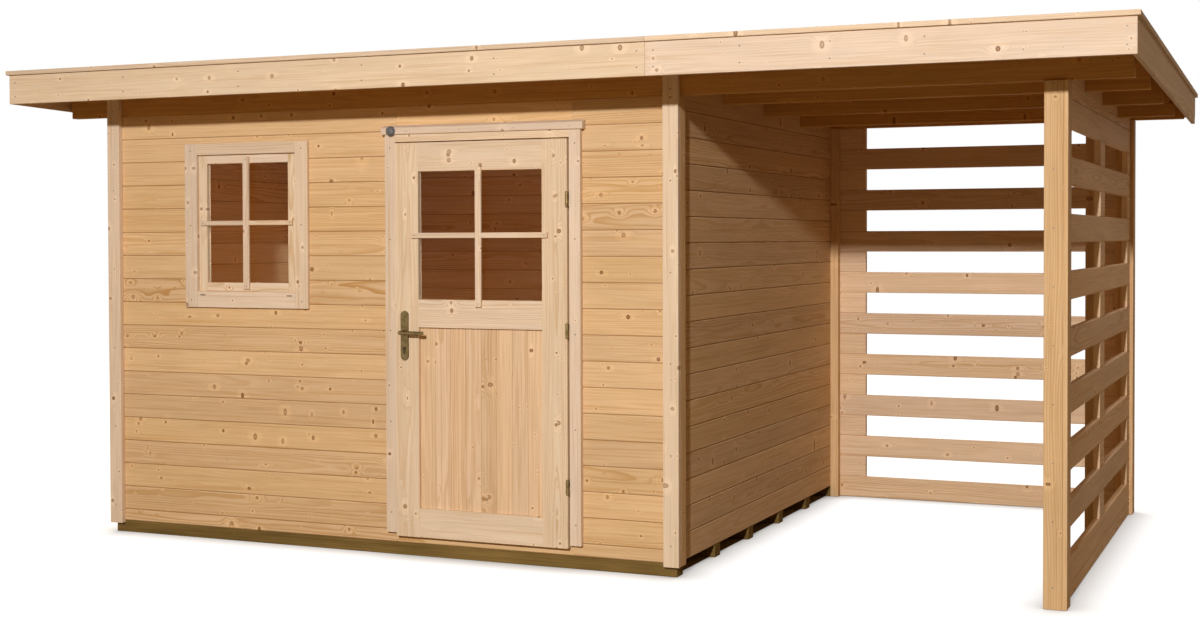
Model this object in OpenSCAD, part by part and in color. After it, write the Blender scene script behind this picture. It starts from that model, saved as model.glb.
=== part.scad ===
// Garden shed of stacked planks with an open log bay under the same pent roof.
// Work frame: x = 0 is the shed's right wall face, y = 0 the front wall face, z = 0 the ground.
// placed() moves that frame to the middle of the roof's footprint.

/* [Planks and walls] */
// Height of one plank course
course_h = 112; // [90:1:140]
// Thickness of a wall plank
plank_t = 28; // [19:1:45]
// Bevel along the planks' edges, which makes the V joints between courses
plank_bevel = 4; // [2:0.5:7]
// Number of plank courses added over the one that the door's drip strip ends in
extra_courses = 0; // [0:1:3]
// Shed width over the side walls' outer faces
shed_w = 2925; // [2400:10:4000]
// Depth over the front and back walls' outer faces
shed_d = 2432; // [1800:10:3200]
// Width of the log bay, from the shed's wall face to the slatted wall's outer face
bay_w = 1572; // [1000:10:2400]

/* [Base and floor] */
// Height of the floor bearers, half a course so that the courses of crossing walls are staggered
base_h = 56; // [40:1:70]
// Width of one bearer
bearer_w = 70; // [45:1:100]
// Number of bearers
bearer_count = 6; // [4:1:9]
// Thickness of the floor boards
floor_t = 18; // [15:1:28]
// Width of a floor or roof board
board_w = 96; // [70:1:140]
// Bevel along those boards' edges
board_bevel = 2.5; // [1:0.5:5]

/* [Roof] */
// Fall of the roof to the back, in degrees
roof_fall = 1.36; // [1:0.02:6]
// Height of the purlin on the front wall
purlin_h = 145; // [120:1:200]
// Height of the purlins between the front and the back wall
mid_purlin_h = 127; // [80:1:180]
// Least height of the purlin on the back wall, which stands on that wall's top course
rear_purlin_min = 60; // [40:1:120]
// Thickness of a purlin
purlin_t = 44; // [28:1:60]
// Number of purlins
purlin_count = 5; // [3:1:8]
// Thickness of the roof boards
deck_t = 18; // [15:1:28]
// Thickness of the roof membrane
felt_t = 3; // [1:0.5:6]
// How far the purlins stop short of the side fascias
purlin_short = 28; // [0:1:80]
// Overhang of the roof in front of the front wall
over_front = 375; // [150:1:500]
// Overhang of the roof behind the back wall
over_rear = 81; // [50:1:300]
// Overhang of the roof past the shed's left wall
over_left = 302; // [150:1:500]
// Overhang of the roof past the slatted wall
over_right = 302; // [150:1:500]
// Height of the fascia boards on the front and the sides
fascia_h = 135; // [100:1:200]
// Height of the fascia board at the back
rear_fascia_h = 100; // [60:1:200]
// Thickness of the fascia boards
fascia_t = 18; // [15:1:28]
// Height of the fascia's top edge over the roof boards
fascia_up = 10; // [6:1:60]
// Thickness of the strip on top of the fascia
strip_t = 20; // [15:1:40]
// Width of that strip
strip_w = 45; // [35:1:90]
// How far the strip stands out past the fascia
strip_out = 12; // [4:1:15]
// Distance of the front fascia's butt joint from the shed's right wall face, negative is left of it
fascia_joint_x = 10; // [-400:1:400]

/* [Trim boards] */
// Thickness of the shed's corner boards on the front and back
trim_t = 28; // [18:1:40]
// Width of the corner boards on the front and back
trim_w = 70; // [50:1:120]
// Thickness of the corner boards on the sides, which the boards on the front and back cover
side_trim_t = 18; // [12:1:40]
// Width of the corner boards on the sides
side_trim_w = 60; // [40:1:140]
// How far the corner boards reach down over the bearers
trim_drop = 12; // [0:1:40]
// Thickness of the log bay's corner boards
post_trim_t = 18; // [15:1:28]
// Width of the log bay's corner boards on its side
post_trim_w = 95; // [60:1:140]

/* [Log bay] */
// Section of the square battens that the slats are fixed to
batten = 44; // [28:1:70]
// Length of the spacer blocks between the slats at a wall's ends
end_spacer_l = 187; // [100:1:260]
// Length of the spacer blocks in the middle of the side wall
mid_spacer_l = 156; // [80:1:260]

/* [Window] */
// Shift of the window to the right of the middle between the left corner board and the door's frame
window_shift = -18; // [-120:0.5:120]
// Height of the casing's lower edge
window_z = 1100; // [800:1:1150]
// Width over the casing
casing_w = 688; // [500:1:800]
// Height over the casing
casing_h = 774; // [500:1:800]
// Width of the casing's upright boards
casing_stile = 69; // [50:1:90]
// Height of the casing's top board
casing_top = 54; // [40:1:80]
// Height of the casing's bottom board
casing_bottom = 76; // [50:1:100]
// Thickness of the casing boards
casing_t = 18; // [12:1:28]
// Thickness of the lining in the wall's hole
lining_t = 20; // [12:1:30]
// Width of the sash's uprights
sash_stile = 48; // [35:1:70]
// Height of the sash's rails
sash_rail = 42; // [30:1:60]
// Thickness of the sash
sash_t = 30; // [24:1:45]
// How far the sash stands out past the wall's face
sash_proud = 2; // [0:0.5:10]
// Thickness of the panes
glass_t = 4; // [3:1:6]
// How far the panes lie behind the face of the sash and of the door leaf
glass_in = 18; // [8:1:20]
// Thickness of the bars that cross the panes
bar_t = 12; // [8:1:15]
// Width of the window's upright bar
window_bar_w = 33; // [20:1:45]
// Height of the window's level bar
window_bar_h = 22; // [16:1:35]
// How far the window's bars lap over the sash
window_bar_lap = 30; // [15:1:38]

/* [Door] */
// Centre of the door, from the shed's right wall face towards the left
door_x = 909; // [760:1:1100]
// Width of the door leaf
leaf_w = 844; // [700:1:900]
// Height of the door leaf
leaf_h = 1757; // [1600:1:2100]
// Height of the leaf's lower edge over the ground
leaf_z = 91; // [70:1:105]
// Thickness of the leaf
leaf_t = 28; // [24:1:45]
// Width of the door's upright stiles
stile_w = 118; // [90:1:140]
// Height of the door's top rail
top_rail_h = 128; // [90:1:150]
// Height of the door's lock rail
lock_rail_h = 125; // [90:1:150]
// Height of the door's bottom rail
bottom_rail_h = 129; // [90:1:170]
// Height of the lock rail's upper edge over the leaf's lower edge
lock_rail_z = 1061; // [950:1:1100]
// Thickness of the boarded lower panel
panel_t = 12; // [6:1:16]
// How far that panel lies behind the face of the leaf
panel_in = 14; // [6:1:18]
// Width of the door's upright bar
door_bar_w = 30; // [20:1:45]
// Height of the door's level bar
door_bar_h = 24; // [16:1:35]
// How far the door's bars lap over its frame
door_bar_lap = 30; // [15:1:60]
// Number of upright boards in that panel
panel_boards = 8; // [5:1:11]
// Bevel along the panel boards' edges
panel_bevel = 2; // [1:0.5:4]
// Gap round the leaf
leaf_gap = 5.5; // [5:0.5:10]
// Gap between the leaf's back and the wall
leaf_back_gap = 8; // [5:0.5:12]
// Width of the boards of the door's outer frame
jamb_w = 52.5; // [40:0.5:80]
// How far the frame's uprights end over the leaf's lower edge
jamb_up = 12; // [0:1:40]
// Height of the frame's head board
head_h = 34; // [25:1:60]
// Thickness of the outer frame's boards
jamb_t = 25; // [14:1:30]
// Thickness of the door's lining in the wall
door_lining_t = 31; // [24:1:45]
// Depth of that lining, from the wall's outer face inwards
door_lining_d = 50; // [30:1:90]
// How far the lining stands in behind the leaf's edge
leaf_lap = 20; // [10:1:30]
// Height of the drip strip over the door
drip_h = 43; // [25:1:60]
// Depth of the drip strip at its lower edge
drip_d = 34; // [25:1:70]
// Height of the drip strip's front edge
drip_lip = 30; // [15:1:40]
// How far the drip strip runs past the frame at each end
drip_past = 15; // [0:1:30]

/* [Door hardware] */
// Radius of a hinge knuckle
knuckle_r = 7; // [5:0.5:10]
// Height of a whole hinge
hinge_h = 60; // [40:1:100]
// Radius of the hinge pin
pin_r = 3.5; // [2.5:0.25:4]
// Thickness of the hinge plates
hinge_plate_t = 2; // [1.5:0.25:2.5]
// Height of the lowest hinge's middle over the leaf's lower edge
hinge_low = 264; // [100:1:400]
// Height of the middle hinge's middle over the leaf's lower edge
hinge_mid = 935; // [700:1:1100]
// Height of the top hinge's middle over the leaf's lower edge
hinge_high = 1498; // [1200:1:1560]
// Distance of the handle's spindle from the leaf's free edge
backset = 49; // [40:1:60]
// Height of the spindle over the leaf's lower edge
handle_z = 913; // [800:1:1000]
// Distance from the spindle down to the lock cylinder
lock_pitch = 72; // [60:1:92]
// Height of the handle plates
plate_h = 220; // [180:1:260]
// Width of the handle plates
plate_w = 38; // [30:1:46]
// Thickness of the handle plates
plate_t = 8; // [4:0.5:10]
// Height of the plate's top over the spindle
plate_up = 96; // [60:1:130]
// Length of the lever from its spindle
lever_l = 118; // [80:1:130]
// Radius of the lever's grip
lever_r = 8; // [6:0.5:10]
// Distance of the lever's middle line from the leaf's face
lever_out = 45; // [35:1:60]
// Radius of the spindle
spindle_r = 4; // [3:0.25:5]
// Radius of the lock cylinder
cylinder_r = 8.5; // [6:0.5:10]
// Radius of the round door buffer
buffer_r = 22; // [15:1:28]
// Thickness of the buffer
buffer_t = 18; // [8:1:25]
// Distance of the buffer's middle from the frame's left edge
buffer_in = 38; // [30:1:60]

/* [Hidden] */
$fn = 48;

// Clearances
notch_gap = 1;
seat_gap = 0.3;
pin_gap = 0.1;
bore_gap = 1;

// Colours, as the photograph shows them
spruce = [0.87, 0.72, 0.52];
spruce_shade = [0.80, 0.65, 0.46];
treated = [0.45, 0.40, 0.25];
felt = [0.16, 0.16, 0.17];
pane = [0.75, 0.82, 0.85, 0.4];
metal = [0.45, 0.42, 0.32];
dark_rubber = [0.22, 0.22, 0.23];

// Door heights, which the number of courses up to the front purlin follows from
leaf_top = leaf_z + leaf_h;
frame_top = leaf_top + leaf_gap + head_h;
front_courses = ceil((frame_top + drip_h) / course_h) + extra_courses;

// Wall planes
wall_top = front_courses * course_h;
left_x = -shed_w;
store_x = bay_w;
back_y = shed_d;
floor_top = base_h + floor_t;

// Roof lines, all falling to the back at the same rate
fall = tan(roof_fall);
function deck_under(y) = wall_top + purlin_h - fall * y;
roof_left = left_x - over_left;
roof_right = store_x + over_right;
roof_front = -over_front;
roof_back = back_y + over_rear;
mid_x = (roof_left + roof_right) / 2;
mid_y = (roof_front + roof_back) / 2;

// Purlins, the first flush with the front wall and the last with the back wall
purlin_step = (shed_d - purlin_t) / (purlin_count - 1);
function purlin_y(i) = i * purlin_step;
rear_courses = floor((deck_under(back_y) - rear_purlin_min) / course_h);
rear_under = rear_courses * course_h;
function mid_purlin_under(y) = deck_under(y) - mid_purlin_h;
function purlin_under(i) = i == 0 ? wall_top
    : i == purlin_count - 1 ? rear_under : mid_purlin_under(purlin_y(i));

// Window, between the left corner board and the door's frame
door_mid = -door_x;
frame_half = leaf_w / 2 + leaf_gap + jamb_w;
window_mid = (left_x - side_trim_t + trim_w + door_mid - frame_half) / 2 + window_shift;
sash_w = casing_w - 2 * casing_stile;
sash_h = casing_h - casing_top - casing_bottom;
sash_z = window_z + casing_bottom;

// Door, with its leaf in front of the wall
leaf_left = door_mid - leaf_w / 2;
leaf_right = door_mid + leaf_w / 2;
leaf_back = -leaf_back_gap;
leaf_front = leaf_back - leaf_t;
doorway_half = leaf_w / 2 - leaf_lap;
wall_cut_half = doorway_half + door_lining_t;
doorway_top = leaf_top - leaf_lap;
wall_cut_top = doorway_top + door_lining_t;
sill_top = course_h;
jamb_z = leaf_z + jamb_up;
panel_z = leaf_z + bottom_rail_h;
lock_rail_under = leaf_z + lock_rail_z - lock_rail_h;
pane_z = leaf_z + lock_rail_z;
pane_top = leaf_top - top_rail_h;

// Hinge axis, in the gap beside the leaf and tangent to its face
hinge_x = leaf_right + leaf_gap / 2;
hinge_y = leaf_front - knuckle_r;
hinge_zs = [hinge_low, hinge_mid, hinge_high];

// Radius of the buffer's dome, which meets its rim at half its thickness
dome_r = (pow(buffer_r, 2) + pow(buffer_t / 2, 2)) / buffer_t;

// Handle
spindle_x = leaf_left + backset;
spindle_z = leaf_z + handle_z;
lock_z = spindle_z - lock_pitch;

module placed() translate([-mid_x, -mid_y, 0]) children();

// A box given by its lowest and highest corners
module block(low, high) translate(low) cube(high - low);

// A profile in the y-z plane, drawn out along x
module along_x(x0, x1) translate([x0, 0, 0]) rotate([90, 0, 90]) linear_extrude(x1 - x0) children();

// A profile in the x-z plane, drawn out along y
module along_y(y0, y1) translate([0, y1, 0]) rotate([90, 0, 0]) linear_extrude(y1 - y0) children();

// One face of a boarded sheet, with a V at each joint; way is 1 along the sheet and -1 back
function face_points(joints, face, bevel, way) = [for (u = joints)
    each [[u - way * bevel, face], [u, face + way * bevel], [u + way * bevel, face]]];

function backwards(list) = [for (i = [len(list) - 1 : -1 : 0]) list[i]];

// Section of a boarded sheet with bevelled edges: u runs across the boards, t through them
function boarded(u0, u1, t0, t1, joints, bevel) = concat(
    [[u0, t0 + bevel], [u0 + bevel, t0]],
    face_points(joints, t0, bevel, 1),
    [[u1 - bevel, t0], [u1, t0 + bevel], [u1, t1 - bevel], [u1 - bevel, t1]],
    face_points(backwards(joints), t1, bevel, -1),
    [[u0 + bevel, t1], [u0, t1 - bevel]]);

// Joints between the boards of a sheet from u0 to u1, the first board whole
function board_joints(u0, u1, pitch) = [for (u = [u0 + pitch : pitch : u1 - pitch / 8]) u];

// Heights of the plank joints between z0 and z1, whole courses apart and counted from first_z
function course_joints(z0, z1, first_z) = [for (n = [0 : front_courses + 1])
    let (z = first_z + n * course_h) if (z > z0 + 2 * plank_bevel && z < z1 - 2 * plank_bevel) z];

// Upright section of planks from z0 to z1, t0 to t1 through their thickness
module plank_section(t0, t1, z0, z1, joints = []) {
    polygon([for (p = boarded(z0, z1, t0, t1, joints, plank_bevel)) [p[1], p[0]]]);
}

// Outline of a side wall, from z0 up to the roof boards
module gable(z0, y0, y1) {
    polygon([[y0, z0], [y1, z0], [y1, deck_under(y1)], [y0, deck_under(y0)]]);
}

// Section of purlin i, its top cut to the roof's fall
module purlin_section(i, gap = 0) {
    y0 = purlin_y(i) - gap;
    y1 = purlin_y(i) + purlin_t + gap;
    polygon([[y0, purlin_under(i)], [y1, purlin_under(i)],
        [y1, deck_under(y1) + gap], [y0, deck_under(y0) + gap]]);
}

module purlin_notches() {
    for (i = [0 : purlin_count - 1]) purlin_section(i, notch_gap);
}

// Planks along y under the roof's fall, notched for the purlins; the joints end below the low end
module falling_planks(x0, z0, y0, y1, first_z) intersection() {
    joints = course_joints(z0, deck_under(y1), first_z);
    along_y(y0, y1) plank_section(x0, x0 + plank_t, z0, wall_top + 2 * purlin_h, joints);
    along_x(x0 - plank_t, x0 + 2 * plank_t) difference() {
        gable(z0 - plank_t, y0 - plank_t, y1 + plank_t);
        purlin_notches();
    }
}

// A side wall of the shed, between the front and back walls and half a course up against them
module side_wall(x0) falling_planks(x0, base_h, plank_t, back_y - plank_t, base_h);

// Planks of the front wall between two widths and two heights
module front_planks(x0, x1, z0, z1) along_x(x0, x1)
    plank_section(0, plank_t, z0, z1, course_joints(z0, z1, 0));

module frame_ring(x, z, w, h, side, top, bottom, y0, y1) along_y(y0, y1) difference() {
    translate([x - w / 2, z]) square([w, h]);
    translate([x - w / 2 + side, z + bottom]) square([w - 2 * side, h - top - bottom]);
}

module floor_bearers() color(treated) placed() {
    step = (shed_d - bearer_w) / (bearer_count - 1);
    for (i = [0 : bearer_count - 1])
        block([left_x, i * step, 0], [0, i * step + bearer_w, base_h]);
}

module floor_boards() color(spruce_shade) placed() {
    x0 = left_x + plank_t;
    x1 = -plank_t;
    along_y(plank_t, back_y - plank_t)
        polygon(boarded(x0, x1, base_h, floor_top, board_joints(x0, x1, board_w), board_bevel));
}

module front_wall_left() color(spruce) placed() difference() {
    front_planks(left_x, door_mid - wall_cut_half, base_h, wall_top);
    hole = [sash_w / 2 + lining_t, plank_t, sash_h / 2 + lining_t];
    middle = [window_mid, plank_t / 2, sash_z + sash_h / 2];
    block(middle - hole, middle + hole);
}

module front_wall_right() color(spruce) placed() front_planks(door_mid + wall_cut_half, 0, base_h, wall_top);

module front_wall_over_door() color(spruce) placed()
    front_planks(door_mid - wall_cut_half, door_mid + wall_cut_half, wall_cut_top, wall_top);

module door_sill() color(spruce) placed()
    front_planks(door_mid - wall_cut_half, door_mid + wall_cut_half, base_h, sill_top);

module left_wall() color(spruce) placed() side_wall(left_x);

module right_wall() color(spruce) placed() side_wall(-plank_t);

module back_wall() color(spruce) placed() along_x(left_x, 0)
    plank_section(back_y - plank_t, back_y, base_h, rear_under, course_joints(base_h, rear_under, 0));

// Corner boards start below the walls' lower edge; on the front and back they pass the purlins up to the roof
trim_z = base_h - trim_drop;

module front_corner_boards() color(spruce) placed()
    for (x0 = [left_x - side_trim_t, side_trim_t - trim_w])
        block([x0, -trim_t, trim_z], [x0 + trim_w, 0, deck_under(0)]);

module rear_corner_boards() color(spruce) placed()
    for (x0 = [left_x - side_trim_t, side_trim_t - trim_w])
        block([x0, back_y, trim_z], [x0 + trim_w, back_y + trim_t, deck_under(back_y + trim_t)]);

module side_corner_boards() color(spruce) placed() {
    block([left_x - side_trim_t, 0, trim_z], [left_x, side_trim_w, wall_top]);
    block([left_x - side_trim_t, back_y - side_trim_w, trim_z], [left_x, back_y, rear_under]);
    block([0, 0, trim_z], [side_trim_t, side_trim_w, wall_top]);
}

module store_front_board() color(spruce) placed()
    block([store_x - plank_t - batten, -post_trim_t, 0], [store_x, 0, wall_top]);

module store_side_boards() color(spruce) placed() {
    y0 = -post_trim_t;
    y1 = back_y + post_trim_t;
    block([store_x, y0, 0], [store_x + post_trim_t, y0 + post_trim_w, wall_top]);
    block([store_x, y1 - post_trim_w, 0], [store_x + post_trim_t, y1, rear_under]);
}

module store_rear_board() color(spruce) placed()
    block([store_x - plank_t - batten, back_y, 0], [store_x, back_y + post_trim_t, rear_under]);

// Battens inside the log bay: its corners and the middle of the slatted side
module store_battens() color(spruce_shade) placed() {
    inner_x = store_x - plank_t;
    back_in = back_y - plank_t;
    mid_y0 = (back_y - batten) / 2;
    block([inner_x - batten, 0, 0], [inner_x, batten, purlin_under(0)]);
    block([inner_x - batten, mid_y0, 0], [inner_x, mid_y0 + batten, mid_purlin_under(mid_y0 + batten)]);
    for (x0 = [0, inner_x - batten])
        block([x0, back_in - batten, 0], [x0 + batten, back_in, rear_under - seat_gap]);
}

// One plank at the back of the log bay, on course k from the ground
module back_plank(x0, x1, k) along_x(x0, x1)
    plank_section(back_y - plank_t, back_y, k * course_h, (k + 1) * course_h);

// Slats on every other course
module back_slats() color(spruce) placed()
    for (k = [0 : 2 : rear_courses - 1]) back_plank(0, store_x - plank_t, k);

module back_spacers() color(spruce) placed()
    for (k = [1 : 2 : rear_courses - 1]) {
        back_plank(0, end_spacer_l, k);
        back_plank(store_x - plank_t - end_spacer_l, store_x - plank_t, k);
    }

// The side starts with a half course, so that its courses are staggered against the back's
slat_z = base_h + course_h;
slat_gap_count = floor(front_courses / 2) - 1;
slat_top = slat_z + (2 * slat_gap_count - 1) * course_h;

// One plank in the side of the log bay
module side_plank(y0, y1, z0, z1 = 0) along_y(y0, y1)
    plank_section(store_x - plank_t, store_x, z0, max(z0 + course_h, z1), course_joints(z0, z1, base_h));

module side_slats() color(spruce) placed() {
    side_plank(0, back_y, 0, slat_z);
    for (k = [1 : slat_gap_count - 1]) side_plank(0, back_y, slat_z + (2 * k - 1) * course_h);
    falling_planks(store_x - plank_t, slat_top, 0, back_y, base_h);
}

module side_spacers() color(spruce) placed()
    for (k = [1 : slat_gap_count]) {
        z0 = slat_z + (2 * k - 2) * course_h;
        side_plank(0, end_spacer_l, z0);
        side_plank((back_y - mid_spacer_l) / 2, (back_y + mid_spacer_l) / 2, z0);
        side_plank(back_y - end_spacer_l, back_y, z0);
    }

module purlins() color(spruce_shade) placed()
    for (i = [0 : purlin_count - 1])
        along_x(roof_left + fascia_t + purlin_short, roof_right - fascia_t - purlin_short) purlin_section(i);

// A section that follows the roof's fall, between two depths and from up to up + t over the purlins
module falling(y0, y1, up, t) {
    polygon([[y0, deck_under(y0) + up], [y1, deck_under(y1) + up],
        [y1, deck_under(y1) + up + t], [y0, deck_under(y0) + up + t]]);
}

// A layer on the roof, inside the fascias
module roof_layer(up, t) along_x(roof_left + fascia_t, roof_right - fascia_t)
    falling(roof_front + fascia_t, roof_back - fascia_t, up, t);

// Roof boards from front to back; their joints show from below
module roof_deck() color(spruce_shade) placed() intersection() {
    roof_layer(0, deck_t + seat_gap);
    joints = board_joints(roof_left, roof_right, board_w);
    translate([0, 0, deck_under(0) + seat_gap]) rotate([-roof_fall, 0, 0])
        along_y(roof_front - fascia_t, roof_back + fascia_t)
            polygon(boarded(roof_left, roof_right, 0, 2 * deck_t, joints, board_bevel));
}

module roof_felt() color(felt) placed() roof_layer(deck_t + 2 * seat_gap, felt_t);

// Section of a fascia between two depths
module fascia_section(y0, y1, h = fascia_h) falling(y0, y1, deck_t + fascia_up - h, h);

// The front fascia is of two boards that butt
module front_fascia() color(spruce) placed() {
    along_x(roof_left, fascia_joint_x - seat_gap) fascia_section(roof_front, roof_front + fascia_t);
    along_x(fascia_joint_x + seat_gap, roof_right) fascia_section(roof_front, roof_front + fascia_t);
}

module rear_fascia() color(spruce) placed()
    along_x(roof_left, roof_right) fascia_section(roof_back - fascia_t, roof_back, rear_fascia_h);

module side_fascias() color(spruce) placed()
    for (x0 = [roof_left, roof_right - fascia_t])
        along_x(x0, x0 + fascia_t) fascia_section(roof_front + fascia_t, roof_back - fascia_t);

// Section of a strip on top of the fascias
module strip_section(y0, y1) falling(y0, y1, deck_t + fascia_up + seat_gap, strip_t);

// These strips stand out past the fascias all round
module roof_strips() color(spruce) placed() {
    x0 = roof_left - strip_out;
    x1 = roof_right + strip_out;
    y0 = roof_front - strip_out;
    y1 = roof_back + strip_out;
    along_x(x0, fascia_joint_x - seat_gap) strip_section(y0, y0 + strip_w);
    along_x(fascia_joint_x + seat_gap, x1) strip_section(y0, y0 + strip_w);
    along_x(x0, x1) strip_section(y1 - strip_w, y1);
    for (xs = [x0, x1 - strip_w])
        along_x(xs, xs + strip_w) strip_section(y0 + strip_w + seat_gap, y1 - strip_w - seat_gap);
}

module window_casing() color(spruce) placed()
    frame_ring(window_mid, window_z, casing_w, casing_h, casing_stile, casing_top, casing_bottom,
        -casing_t, 0);

module window_lining() color(spruce_shade) placed()
    frame_ring(window_mid, sash_z - lining_t, sash_w + 2 * lining_t, sash_h + 2 * lining_t,
        lining_t, lining_t, lining_t, 0, plank_t);

module window_sash() color(spruce) placed()
    frame_ring(window_mid, sash_z + seat_gap, sash_w - 2 * seat_gap, sash_h - 2 * seat_gap,
        sash_stile - seat_gap, sash_rail - seat_gap, sash_rail - seat_gap, -sash_proud, sash_t - sash_proud);

module window_glass() color(pane) placed() {
    y0 = min(glass_in, sash_t - glass_t) - sash_proud;
    block([window_mid - sash_w / 2 + sash_stile, y0, sash_z + sash_rail],
        [window_mid + sash_w / 2 - sash_stile, y0 + glass_t, sash_z + sash_h - sash_rail]);
}

// Bars that cross on a pane's face side and lap over the frame round it
module crossed_bars(x, z, w, h, upright, level, lap, y) {
    block([x - upright / 2, y - bar_t, z - h / 2 - lap], [x + upright / 2, y, z + h / 2 + lap]);
    block([x - w / 2 - lap, y - bar_t, z - level / 2], [x + w / 2 + lap, y, z + level / 2]);
}

module window_bars() color(spruce) placed()
    crossed_bars(window_mid, sash_z + sash_h / 2, sash_w - 2 * sash_stile, sash_h - 2 * sash_rail,
        window_bar_w, window_bar_h, min(window_bar_lap, sash_rail - 4), -sash_proud);

// The frame's uprights run through and its head board stands between them
module door_frame() color(spruce) placed() {
    for (x0 = [door_mid - frame_half, door_mid + frame_half - jamb_w])
        block([x0, -jamb_t, jamb_z], [x0 + jamb_w, 0, frame_top]);
    block([door_mid - frame_half + jamb_w, -jamb_t, frame_top - head_h],
        [door_mid + frame_half - jamb_w, 0, frame_top]);
}

module door_lining() color(spruce_shade) placed() along_y(0, door_lining_d) difference() {
    translate([door_mid - wall_cut_half, sill_top]) square([2 * wall_cut_half, wall_cut_top - sill_top]);
    translate([door_mid - doorway_half, sill_top - 1]) square([2 * doorway_half, doorway_top - sill_top + 1]);
}

module door_drip_strip() color(spruce) placed() {
    half = frame_half + drip_past;
    along_x(door_mid - half, door_mid + half)
        polygon([[0, frame_top], [-drip_d, frame_top], [-drip_d, frame_top + drip_lip],
            [0, frame_top + drip_h]]);
}

module door_stiles() color(spruce) placed() difference() {
    for (x0 = [leaf_left, leaf_right - stile_w])
        block([x0, leaf_front, leaf_z], [x0 + stile_w, leaf_back, leaf_top]);
    lock_bores(spindle_r + bore_gap, cylinder_r + bore_gap, leaf_front - 1, leaf_back + 1);
}

module lock_bores(spindle, barrel, y0, y1) {
    translate([spindle_x, y1, spindle_z]) rotate([90, 0, 0]) cylinder(r = spindle, h = y1 - y0);
    translate([spindle_x, y1, lock_z]) rotate([90, 0, 0]) cylinder(r = barrel, h = y1 - y0);
}

module door_rails() color(spruce) placed() {
    x0 = leaf_left + stile_w;
    x1 = leaf_right - stile_w;
    block([x0, leaf_front, leaf_z], [x1, leaf_back, panel_z]);
    block([x0, leaf_front, lock_rail_under], [x1, leaf_back, pane_z]);
    block([x0, leaf_front, pane_top], [x1, leaf_back, leaf_top]);
}

module door_panel() color(spruce) placed() {
    x0 = leaf_left + stile_w;
    x1 = leaf_right - stile_w;
    y0 = leaf_front + min(panel_in, leaf_t - panel_t);
    joints = board_joints(x0, x1, (x1 - x0) / panel_boards);
    translate([0, 0, panel_z]) linear_extrude(lock_rail_under - panel_z)
        polygon(boarded(x0, x1, y0, y0 + panel_t, joints, panel_bevel));
}

module door_glass() color(pane) placed() {
    y0 = leaf_front + min(glass_in, leaf_t - glass_t);
    block([leaf_left + stile_w, y0, pane_z], [leaf_right - stile_w, y0 + glass_t, pane_top]);
}

module door_bars() color(spruce) placed()
    crossed_bars(door_mid, (pane_z + pane_top) / 2, leaf_w - 2 * stile_w, pane_top - pane_z,
        door_bar_w, door_bar_h, door_bar_lap, leaf_front);

// Lift-off hinges: the frame's half carries the pin, the door's half drops over it
module hinge_frame_halves() color(metal) placed()
    for (z = hinge_zs) translate([hinge_x, hinge_y, leaf_z + z - hinge_h / 2]) {
        cylinder(r = knuckle_r, h = hinge_h / 2);
        cylinder(r = pin_r, h = hinge_h - 4);
        block([leaf_gap / 2 - hinge_plate_t, 0, 0], [leaf_gap / 2, -hinge_y, hinge_h / 2]);
    }

module hinge_door_halves() color(metal) placed()
    for (z = hinge_zs) translate([hinge_x, hinge_y, leaf_z + z + seat_gap]) difference() {
        union() {
            cylinder(r = knuckle_r, h = hinge_h / 2);
            block([-leaf_gap / 2, 0, 0], [hinge_plate_t - leaf_gap / 2, knuckle_r + leaf_t, hinge_h / 2]);
        }
        translate([0, 0, -1]) cylinder(r = pin_r + pin_gap, h = hinge_h / 2 - 2);
    }

// A plate with round ends, bored for the spindle and the lock
module handle_plate(y0) difference() {
    low_z = spindle_z + plate_up - plate_h;
    union() {
        block([spindle_x - plate_w / 2, y0, low_z + plate_w / 2],
            [spindle_x + plate_w / 2, y0 + plate_t, low_z + plate_h - plate_w / 2]);
        for (z = [low_z + plate_w / 2, low_z + plate_h - plate_w / 2])
            translate([spindle_x, y0 + plate_t, z]) rotate([90, 0, 0]) cylinder(d = plate_w, h = plate_t);
    }
    lock_bores(spindle_r + pin_gap, cylinder_r + seat_gap, y0 - 1, y0 + plate_t + 1);
}

module handle_plates() color(metal) placed() {
    handle_plate(leaf_front - plate_t);
    handle_plate(leaf_back);
}

// The two levers and the spindle that joins them
module handle_lever() color(metal) placed() translate([spindle_x, 0, spindle_z]) {
    out_y = leaf_front - lever_out;
    in_y = leaf_back + lever_out;
    neck_r = lever_r + 1.5;
    translate([0, in_y, 0]) rotate([90, 0, 0]) cylinder(r = spindle_r, h = in_y - out_y);
    for (ends = [[out_y, leaf_front - plate_t - seat_gap], [leaf_back + plate_t + seat_gap, in_y]]) {
        translate([0, ends[1], 0]) rotate([90, 0, 0]) cylinder(r = neck_r, h = ends[1] - ends[0]);
    }
    for (y = [out_y, in_y]) translate([0, y, 0]) {
        rotate([0, 90, 0]) cylinder(r = lever_r, h = lever_l - lever_r);
        sphere(r = neck_r);
        translate([lever_l - lever_r, 0, 0]) sphere(r = lever_r);
    }
}

module lock_cylinders() color(metal) placed()
    translate([spindle_x, leaf_back + plate_t + 2, lock_z]) rotate([90, 0, 0])
        cylinder(r = cylinder_r, h = leaf_t + 2 * plate_t + 4);

// A round rubber buffer with a domed front
module door_buffer() color(dark_rubber) placed()
    translate([door_mid - frame_half + buffer_in, -drip_d, frame_top + drip_lip / 2]) rotate([90, 0, 0])
        rotate_extrude() intersection() {
            square([buffer_r, buffer_t]);
            translate([0, buffer_t - dome_r]) circle(r = dome_r);
        }

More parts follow.
